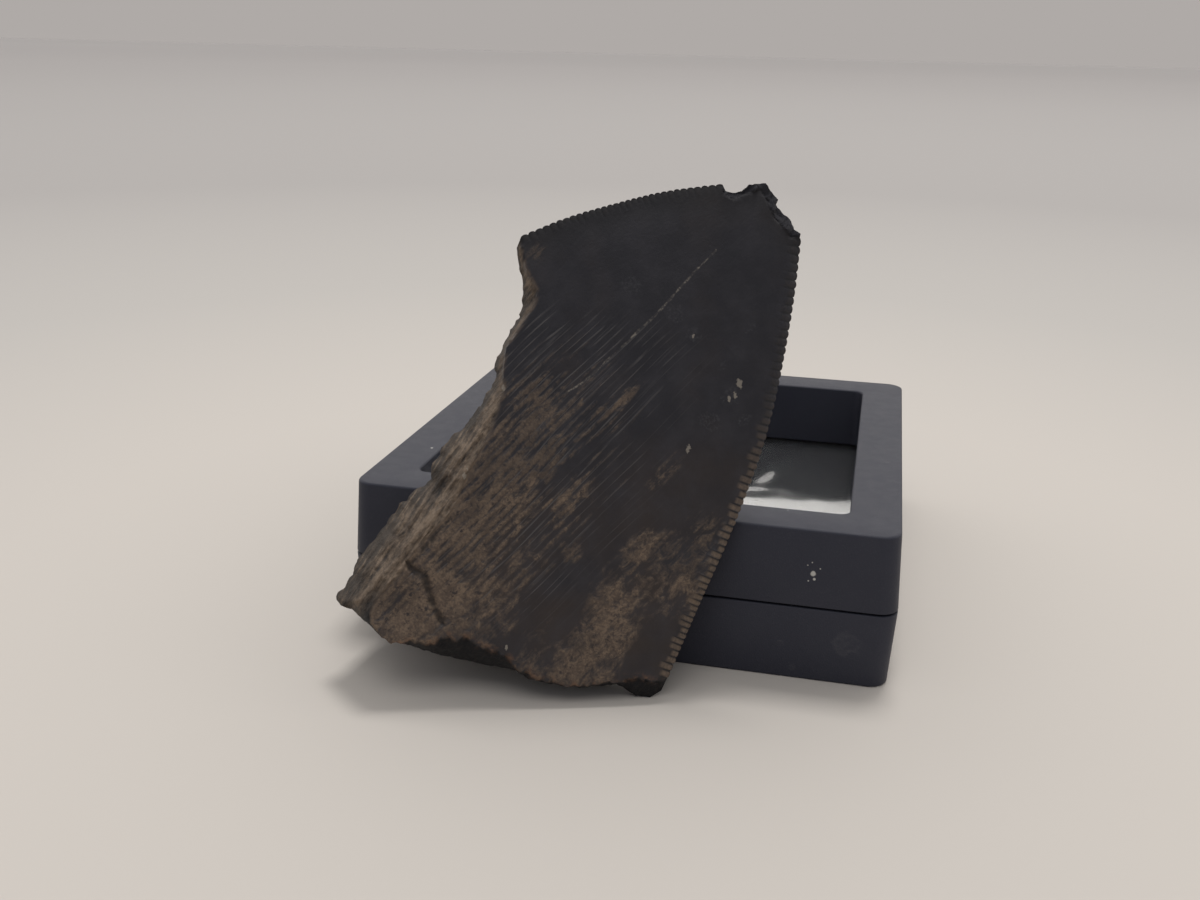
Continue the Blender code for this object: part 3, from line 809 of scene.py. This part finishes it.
def frontSheet(points):
    # w of the enamelled side, with what its colours need
    edge = edgeDistance(points)
    (bevelDepth, bevelWidth), (rollDepth, rollWidth) = tooth["bevel"], tooth["roll"]
    face = bevelDepth * np.exp(-edge / bevelWidth) + rollDepth * np.exp(-edge / rollWidth)
    enamelled = insideRing(points, faceRing)
    outside = np.where(enamelled, 0.0, nearest(points, faceBorder)[0])
    toTip, toFoot, toSide = (nearest(points, line)[0] for line in breaks)
    toRim = np.minimum(np.minimum(toTip, toFoot), toSide)
    share = outside / (outside + toRim + 1e-6)
    slope = (weighted(points, brokenRim, brokenRim[:, 2]) - face) * share ** tooth["breakCurve"]
    fibres = fibreRelief(points)
    shown = fibres * np.clip(toFoot / 5 - 0.3, 0, 1)
    bare = np.clip(12 * share, 0, 1) * np.clip(3.5 * (1 - share), 0, 1)
    crack, cracked = crackDepth(points)
    ribs, ribShare, ribZone = serrationRibs(points)
    u, v, radius, depth = tooth["hollow"]
    dip = depth * np.exp(-((points - (u, v)) ** 2).sum(1) / radius ** 2)
    swell = 0.05 * plainRough(points, 7.0, 8.0)
    crest, worn = ridged(points)
    swell -= tooth["ridges"][1] * (crest - 0.5) * worn * enamelled
    relief = tooth["lip"] + shown + bumpy(points, tooth["pits"])
    front = face + slope + bare * relief + crack + dip + swell - ribs
    left = np.minimum(tooth["thinnest"], 0.6 * nearest(points, outline)[0])
    front = np.minimum(front, backHeight(points) - left)
    return front, {
        "bare": np.clip(outside / 0.35, 0, 1),
        "flank": np.where(enamelled, 0.0, share),
        # painted shade and highlight: the broken side's colour follows the fibre relief, darker in its
        # grooves
        "crest": np.clip(0.5 - 0.55 * fibres, 0, 1),
        "crack": cracked,
        "rib": ribShare,
        "ribZone": ribZone,
        "stain": stainDensity(points) + 0.5 * (crest - 0.6) * worn,
        "worn": worn,
        # painted shade along the upper cutting edge and the tip break
        "shaded": nearness(points, np.vstack([leftLine, breaks[0][:, :2]]), 2.4),
        # painted highlight: a thin pale line along the enamel's border with the broken side
        "ledge": nearness(points, tooth["faceSide"], 0.16),
        # painted shade on the underside by the foot break, which lies in shadow
        "foot": np.exp(-toFoot / 3.2) * np.clip((points[:, 0] + 27.5) / 3, 0, 1),
        "rimGlow": nearness(points, footBorder, 0.4),
    }


def backSheet(points):
    toFoot = nearest(points, breaks[1])[0]
    ribShare, ribZone = serrationRibs(points)[1:]
    height = backHeight(points) + 0.1 * plainRough(points, 1.6, 21.0) * np.exp(-toFoot / 4)
    return height, {
        **dict.fromkeys(("flank", "crack", "shaded", "ledge", "rimGlow"), np.zeros(len(points))),
        "bare": np.clip(1.6 - toFoot / 2.2, 0, 1),
        "crest": np.clip(0.5 + rough(points, 0.9, 6.0, 31.0), 0, 1),
        "rib": ribShare,
        "ribZone": ribZone,
        "stain": 0.5 * np.exp(-toFoot / 14) + 0.15,
        "worn": np.full(len(points), 0.2),
        # painted shade near the foot break on the far side
        "foot": np.exp(-toFoot / 2.0),
    }


def stainDensity(points):
    u, v = points.T
    density = 0.46 * nearness(points, tooth["faceSide"], 11.0) * np.clip((45 - v) / 10, 0, 1)
    density += 0.36 * np.exp(-np.maximum(v - 4.5, 0) / 9) * np.clip((11 - u) / 6, 0, 1)
    for *shape, strength in fossilFinish["stains"]:
        density += strength * mound(u, v, (*shape, tooth["streaks"]))
    return tooth["mostStain"] * np.tanh(np.maximum(density, 0) / tooth["mostStain"])


def serrated(line, places, passed):
    # the cutting edge, notch by notch
    points = []
    for index in range(round(passed[-1])):
        size = tooth["scallop"] * (1 + 0.3 * math.sin(2.3 * index) * math.sin(0.7 * index + 1))
        for share in (0.0, 0.06, 0.2, 0.36, 0.5, 0.64, 0.8, 0.94):
            place, outward = alongEdge(line, np.interp(index + share, passed, places))
            points.append(place + outward * size * (math.sin(math.pi * share) ** 0.6 - 0.6))
    return np.column_stack([points, np.full(len(points), rolled)])


def rowsBeside(offsets):
    # points beside the cutting edges, four for each serration
    points = []
    for line, (places, passed) in zip(edges, counts):
        for distance in np.interp(np.arange(0.25, passed[-1], 0.25), passed, places):
            place, outward = alongEdge(line, distance)
            points.extend(place + outward * offset for offset in offsets)
    return np.array(points)


def lattice(across, along):
    places, rows = np.arange(-30, 80, along), np.arange(-45, 45, across)
    a, b = np.meshgrid(places, rows)
    a = a + np.where(np.arange(len(rows)) % 2, along / 2, 0.0)[:, None]
    c, s = heading(tooth["grain"])
    return np.column_stack([a.ravel(), b.ravel()]) @ np.array([[c, s], [-s, c]])


def clearOf(points, others, room):
    near = np.array([((others - p) ** 2).sum(1).min() for p in points])
    return points[near > room ** 2]


def sheetPoints(rim, *, back):
    # where the sheet has its points inside the rim
    spacing, room = tooth["spacing"], tooth["room"]
    rows = rowsBeside(spacing["beside"])
    fixed = clearOf(rows[insideRing(rows, rim)], rim, room["beside"])
    if back:
        sheets = [(lattice(spacing["back"], spacing["back"]), None, room["back"])]
    else:
        border = np.vstack([footBorder, straightLine(tooth["faceSide"], spacing["sideStep"])])
        fixed = np.vstack([fixed, clearOf(border[insideRing(border, rim)], rim, room["border"])])
        face = spacing["face"]
        sheets = [(lattice(*spacing["break"]), False, room["break"]),
                  (lattice(face * 0.87, face), True, room["face"])]
    kept = [fixed]
    for points, onFace, gap in sheets:
        points = points[insideRing(points, rim)]
        if onFace is not None:
            points = points[insideRing(points, faceRing) == onFace]
        kept.append(clearOf(clearOf(points, rim, gap), fixed, gap))
    return np.vstack(kept)


def triangulated(rim, inner):
    # places and triangles of one side; no triangle reaches across from rim to rim
    count = len(rim)
    while True:
        places = np.vstack([rim, inner])
        flat = [Vector(place) for place in places]
        result = delaunay_2d_cdt(flat, [], [tuple(range(count))], 1, 1e-5)
        if len(result[0]) != len(flat):
            raise ValueError("the outline crosses itself")
        order = np.array([source[0] for source in result[3]])
        faces = order[np.array(result[2])]
        sides = {tuple(sorted(pair)) for a, b, c in faces.tolist() for pair in ((a, b), (b, c), (c, a))}
        chords = sorted((a, b) for a, b in sides if b < count and b - a not in (1, count - 1))
        if not chords:
            return places, faces
        inner = np.vstack([inner, [(places[a] + places[b]) / 2 for a, b in chords]])


def halved(places, faces):
    # every triangle split in four at the middles of its sides
    sides = np.sort(np.vstack([faces[:, [0, 1]], faces[:, [1, 2]], faces[:, [2, 0]]]), axis=1)
    unique, which = np.unique(sides, axis=0, return_inverse=True)
    middle = (len(places) + which.reshape(-1)).reshape(3, -1).T
    a, b, c = faces.T
    ab, bc, ca = middle.T
    split = [(a, ab, ca), (ab, b, bc), (ca, bc, c), (ab, bc, ca)]
    return unique, np.vstack([np.column_stack(corners) for corners in split])


def measured(points, sheet):
    # the sheet's heights and layers, a few thousand points at a time
    parts = [sheet(part) for part in np.array_split(points, len(points) // 3000 + 1)]
    heights = np.concatenate([height for height, _ in parts])
    return heights, {key: np.concatenate([layers[key] for _, layers in parts]) for key in parts[0][1]}


def toothMesh():
    # two relief sheets over the same outline, joined along it
    rim = np.vstack([serrated(leftLine, *counts[0]), breaks[0],
                     serrated(rightLine, *counts[1]), breaks[1], breaks[2]])
    count = len(rim)
    rimMiddles = {}
    places, faces, layers = [rim], [], {}
    for back, sheet in ((False, frontSheet), (True, backSheet)):
        flat, triangles = triangulated(rim[:, :2], sheetPoints(rim[:, :2], back=back))
        unique, triangles = halved(flat, triangles)
        start = len(flat)
        flat = np.vstack([flat, (flat[unique[:, 0]] + flat[unique[:, 1]]) / 2])
        onRim = np.zeros(len(flat), bool)
        onRim[:count] = True
        mapped = np.full(len(flat), -1)
        mapped[:count] = np.arange(count)
        for index, (a, b) in enumerate(unique):
            if b >= count:
                continue
            onRim[start + index] = True
            if not back:
                rimMiddles[(a, b)] = sum(len(block) for block in places)
                places.append(((rim[a] + rim[b]) / 2)[None])
            mapped[start + index] = rimMiddles[(a, b)]
        heights, values = measured(flat, sheet)
        first = sum(len(block) for block in places)
        inner = ~onRim
        mapped[inner] = first + np.arange(inner.sum())
        places.append(np.column_stack([flat[inner], heights[inner]]))
        faces.append(mapped[triangles][:, ::-1] if back else mapped[triangles])
        own = inner if back else slice(None)
        for key, value in values.items():
            stored = np.zeros(first + inner.sum())
            if back:
                stored[:len(layers[key])] = layers[key]
            stored[mapped[own]] = value[own]
            layers[key] = stored
    return np.vstack(places), np.vstack(faces), layers


def makeTooth():
    places, faces, layers = toothMesh()
    data = bpy.data.meshes.new("tooth")
    data.from_pydata(places[:, [0, 2, 1]] * mm, [], faces.tolist())
    for name, values in layers.items():
        stored = data.attributes.new(name, "FLOAT", "POINT")
        stored.data.foreach_set("value", values.astype(np.float32))
    fossil = newPiece("fossil_tooth", data, toothFinish(), tooth["sharp"])
    fossil.location = corner + Vector((*tooth["foot"], 0.0)) * mm
    fossil.rotation_euler = (-math.radians(tooth["lean"]), 0.0, math.radians(tooth["turn"]))
    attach(fossil, "root")
    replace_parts(fossil, "tooth")
    print("tooth:", len(places), "points,", len(faces), "triangles")


fossilFinish = {
    "enamel": tone(29, 28, 34),
    "enamelWarm": tone(48, 39, 35),
    "enamelPale": tone(56, 54, 59),
    "streak": tone(92, 89, 88),
    "stain": tone(82, 69, 59),
    "stainPale": tone(116, 99, 83),
    "stainDark": tone(56, 48, 43),
    "gap": tone(36, 32, 30),
    "fibre": tone(85, 73, 62),
    "crest": tone(120, 104, 88),
    "flank": tone(58, 52, 47),  # painted shade on the steep part of the broken side, which turns away from the light
    "dark": tone(14, 13, 16),  # painted shade: near black for the shadowed breaks at the foot and the tip, along the upper cutting edge and in the grooves between the serration ribs
    "rust": tone(130, 92, 62),
    "fleck": tone(150, 142, 130),
    # brown staining on the face: u, v, half length along the streaks, half width across, strength
    "stains": (
        (-6.9, 28.6, 4.0, 1.7, 0.55), (-2.5, 24.3, 2.6, 1.3, 0.62), (-10.0, 30.7, 3.2, 1.6, 0.4),
        (6.7, 19.1, 1.8, 1.2, 0.7), (9.1, 27.3, 3.2, 0.9, 0.6), (2.8, 11.4, 3.0, 1.8, 0.62),
        (0.7, 6.5, 4.2, 2.4, 0.6), (-1.3, 18.3, 1.6, 1.0, 0.6), (-4.7, 35.0, 2.2, 1.5, 0.45),
        (-6.2, 37.3, 1.6, 1.2, 0.4), (4.1, 36.1, 2.6, 0.6, 0.6), (-13.0, 23.7, 5.5, 3.0, 0.4),
        (-15.5, 15.0, 6.0, 4.2, 0.5), (-8.8, 22.2, 2.6, 1.4, 0.35), (13.8, 19.8, 4.0, 3.0, 0.3),
        (12.0, 13.6, 4.0, 3.0, 0.34), (-5.3, 53.4, 1.6, 1.0, 0.32), (-21.5, 11.2, 4.5, 3.0, 0.8),
        (-8.5, 41.1, 4.0, 2.0, -0.4), (-5.1, 22.2, 3.2, 0.9, -0.5), (-3.4, 14.0, 5.0, 1.7, -0.45),
        (6.6, 5.0, 3.0, 2.2, -0.6), (4.4, 22.4, 6.0, 1.5, -0.45), (-10.1, 16.7, 2.6, 1.0, -0.45),
        (-2.1, 27.8, 4.2, 0.9, -0.35), (-2.2, 10.1, 3.0, 1.1, -0.4), (-14.0, 24.3, 1.8, 1.1, 0.35),
        (-13.8, 20.2, 2.4, 1.5, 0.35), (-18.3, 11.6, 2.0, 0.9, 0.35), (-21.8, 12.9, 1.6, 1.3, -0.7),
        (-13.1, 16.7, 1.3, 0.8, -0.55), (-10.4, 26.9, 1.1, 0.8, -0.5), (-15.8, 12.3, 1.3, 0.7, -0.6),
        (-9.0, 7.2, 1.8, 1.2, -0.55), (-9.8, 20.8, 2.4, 0.7, -0.5), (-22.8, 10.2, 1.2, 0.6, -0.5),
        (6.6, 16.3, 6.0, 3.0, 0.18), (14.3, 16.3, 3.0, 2.4, 0.12),
    ),
    # a row of pale dots that crosses the face
    "scratch": ((-2.2, 37.1), (0.3, 38.7), (5.0, 43.0), (9.1, 46.9), (12.6, 50.8), (15.6, 53.8)),
    # u, v, radius: single pale flecks
    "flecks": (
        (2.9, 52.2, 0.11), (12.3, 30.7, 0.24), (18.5, 38.2, 0.3), (17.9, 36.9, 0.2), (17.2, 36.5, 0.14),
        (-9.3, 37.9, 0.16), (-13.9, 27.7, 0.2), (-13.5, 28.4, 0.16), (12.9, 43.8, 0.12),
        (-9.2, 7.6, 0.13),
    ),
    # and faint pale smudges
    "smudges": (
        (10.6, 46.5, 1.2), (13.0, 44.0, 1.1), (19.6, 44.7, 1.0), (17.3, 36.7, 1.3), (16.4, 40.3, 0.7),
        (14.9, 33.9, 1.4), (18.9, 33.9, 1.0), (5.8, 49.4, 1.6),
    ),
    "smudge": tone(96, 96, 99),
}


def segmentDistance(finish, place, start, end):
    # distance from a straight line on the face
    start, end = (Vector((u, 0.0, v)) for u, v in (start, end))
    along = end - start
    arm = finish.vector("SUBTRACT", place, start)
    reach = finish.vector("DOT_PRODUCT", arm, along / along.length_squared, "Value")
    foot = finish.scaled(along, finish.node("Clamp", None, {"Value": reach}))
    return finish.vector("DISTANCE", arm, foot, "Value")


def toothFinish():
    finish = Finish("fossil_enamel", fossilFinish, Specular_IOR_Level=0.4)
    place = finish.places()
    flat = finish.vector("MULTIPLY", place, (1, 0, 1))
    height = finish.node("SeparateXYZ", None, {0: place}, "Z")
    cloud, mix, layer = finish.cloud, finish.mix, finish.layer
    bare, stain, worn, shaded, flank = map(layer, ("bare", "stain", "worn", "shaded", "flank"))

    def drawn(way, size, *grain):
        return finish.strands(flat, tooth[way], size, *grain)

    broad = cloud(place, 11, 3)
    fine = cloud(place, 0.32, 3, 0.6)
    cloudy = cloud(flat, 1.7, 5, 0.65)
    mottled = cloud(flat, 4.5, 4, 0.6)
    warm = broad.ramp(0.45, 0.7) * 0.35 + height.ramp(36, 14) * broad.ramp(0.25, 0.55) * 0.75
    # pale hair lines along the streaks
    hair = drawn("streaks", (15, 0.45), 2, 0.5)
    broken = drawn("streaks", (4, 0.9), 2)
    c, s = heading(tooth["streaks"])
    sideways = finish.vector("DOT_PRODUCT", flat, (-s, 0, c), "Value")
    drift = cloud(flat, 26, 1) * 3 + drawn("streaks", (60, 1.6)) * 1.2
    line = ((sideways + drift) * (2 * math.pi / tooth["hairSpacing"])).math("SINE").ramp(0.8, 1)
    pale = (line * 0.8).math("MAXIMUM", hair.ramp(0.57, 0.68) * 0.4)
    pale = pale * broken.ramp(0.33, 0.62) * worn.ramp(0.04, 0.45)
    # brown stains, drawn out along the streaks and eaten by dark pores
    blot = drawn("streaks", (2.2, 1.5), 6, 0.66, 0.7) - 0.5
    wisps = drawn("streaks", (7, 0.55), 3) - 0.5
    pores = drawn("streaks", (0.8, 0.45), 3, 0.65) - 0.5
    eaten = blot * 2.9 + wisps * (height.ramp(14, 30) * 1.4 + 0.9) + pores * 0.8
    body = (stain * 1.35 + eaten * stain.ramp(0, 0.3)).ramp(0.12, 0.92)
    body = body * (height.ramp(44, 22) * 0.4 + 0.6)
    pits = cloud(flat, 0.6, 3, 0.6).ramp(0.53, 0.64) * cloud(flat, 3, 2).ramp(0.4, 0.58)
    brown = finish.coated(
        "stain",
        ((fine * 0.5 + cloudy * 0.5).ramp(0.4, 0.62), "stainPale"),
        (broad.ramp(0.55, 0.4) * 0.4, "stainDark"))
    ribPale = finish.coated(
        "enamel",
        (height.ramp(38, 22), "stainPale"),
        (fine.ramp(0.35, 0.65) * 0.5, "stainDark"))
    # the broken sides: fibre grain, partly painted shade and highlight, darker in the grooves between
    # fibres and paler on their ridges
    strand = drawn("splinters", (5, 0.5), 5, 0.65)
    grit = drawn("splinters", (0.8, 0.4), 4, 0.65)
    grainAndShade = layer("crest") * 0.35 + strand * 0.8 + grit * 0.6 - flank.ramp(0.4, 0.9) * 0.08
    bark = finish.coated(
        "gap",
        (grainAndShade.ramp(0.64, 0.84), "fibre"),
        (grainAndShade.ramp(0.8, 1.02), "crest"),
        # painted shade on the steep flank
        (flank.ramp(0.45, 0.85) * strand.ramp(0.65, 0.45) * 0.8, "flank"),
        # painted shade: the underside by the foot break darkened to near black, with some grain
        (layer("foot").ramp(0.14, 0.42), mix(grit.ramp(0.45, 0.75) * 0.35, "dark", "stainDark")),
        (height.ramp(54.6, 55.6), "enamel"))
    # a row of small pale dots
    away = None
    dotRow = fossilFinish["scratch"]
    for start, end in zip(dotRow, dotRow[1:]):
        distance = segmentDistance(finish, flat, start, end)
        away = distance if away is None else away.math("MINIMUM", distance)
    wander = (cloud(flat, 1.1, 2) - 0.5) * 0.5
    dots = cloud(flat, 0.42, 1).ramp(0.44, 0.62) * 0.8 + 0.2
    scratch = cloud(flat, 2.4, 1).ramp(0.35, 0.6) * 0.6 + 0.2

    colour = finish.coated(
        "enamel",
        (warm, "enamelWarm"),
        (mottled.ramp(0.35, 0.7) * 0.7 * cloudy, "enamelPale"),
        (pale * 0.7, "streak"),
        (body, brown),
        (pits * body * 0.8, "enamel"),
        # painted shade and highlight on the serrations: darker in the grooves between ribs, paler on the
        # crests
        (layer("ribZone").ramp(0.2, 0.5) * 0.7, mix(layer("rib").ramp(0.2, 0.75), "dark", ribPale)),
        # painted shade along the upper cutting edge and the tip break
        (shaded * 0.62, "dark"),
        (bare, bark),
        # painted highlight along the enamel's border with the broken side
        (layer("ledge") * broken.ramp(0.35, 0.55) * 0.45, "stainPale"),
        (layer("rimGlow") * cloudy.ramp(0.45, 0.65) * 0.45, "rust"),
        # painted shade in the cracks
        (layer("crack") * 0.8, "gap"),
        ((away + wander).ramp(0.17, 0.03) * dots * scratch * 0.7, "fleck"))
    for u, v, radius in fossilFinish["smudges"]:
        faint = finish.spot(flat, (u, 0, v), radius, (cloudy - 0.5) * 2) * fine.ramp(0.4, 0.8) * 0.22
        colour = mix(faint, colour, "smudge")
    # flecks twice as tall as wide
    wobble = (cloudy + fine * 0.5 - 0.75) * 3.2
    tall = finish.vector("MULTIPLY", flat, (1, 0, 0.5))
    for u, v, radius in fossilFinish["flecks"]:
        mask = finish.spot(tall, (u, 0, 0.5 * v), radius, wobble)
        colour = mix(mask * 0.6, colour, "fleck")

    dull = (body * 0.8).math("MAXIMUM", bare).math("MAXIMUM", shaded)
    finish.paint(Base_Color=colour, Roughness=dull * 0.36 + fine * 0.1 + 0.42)
    relief = pale * 0.4 + body * 0.6 + pores * 0.5 + fine * 0.2
    finish.bump(relief + (strand * 2.2 + grit * 2 + fine * 0.8) * bare, 0.1)
    return finish.material


makeTooth()
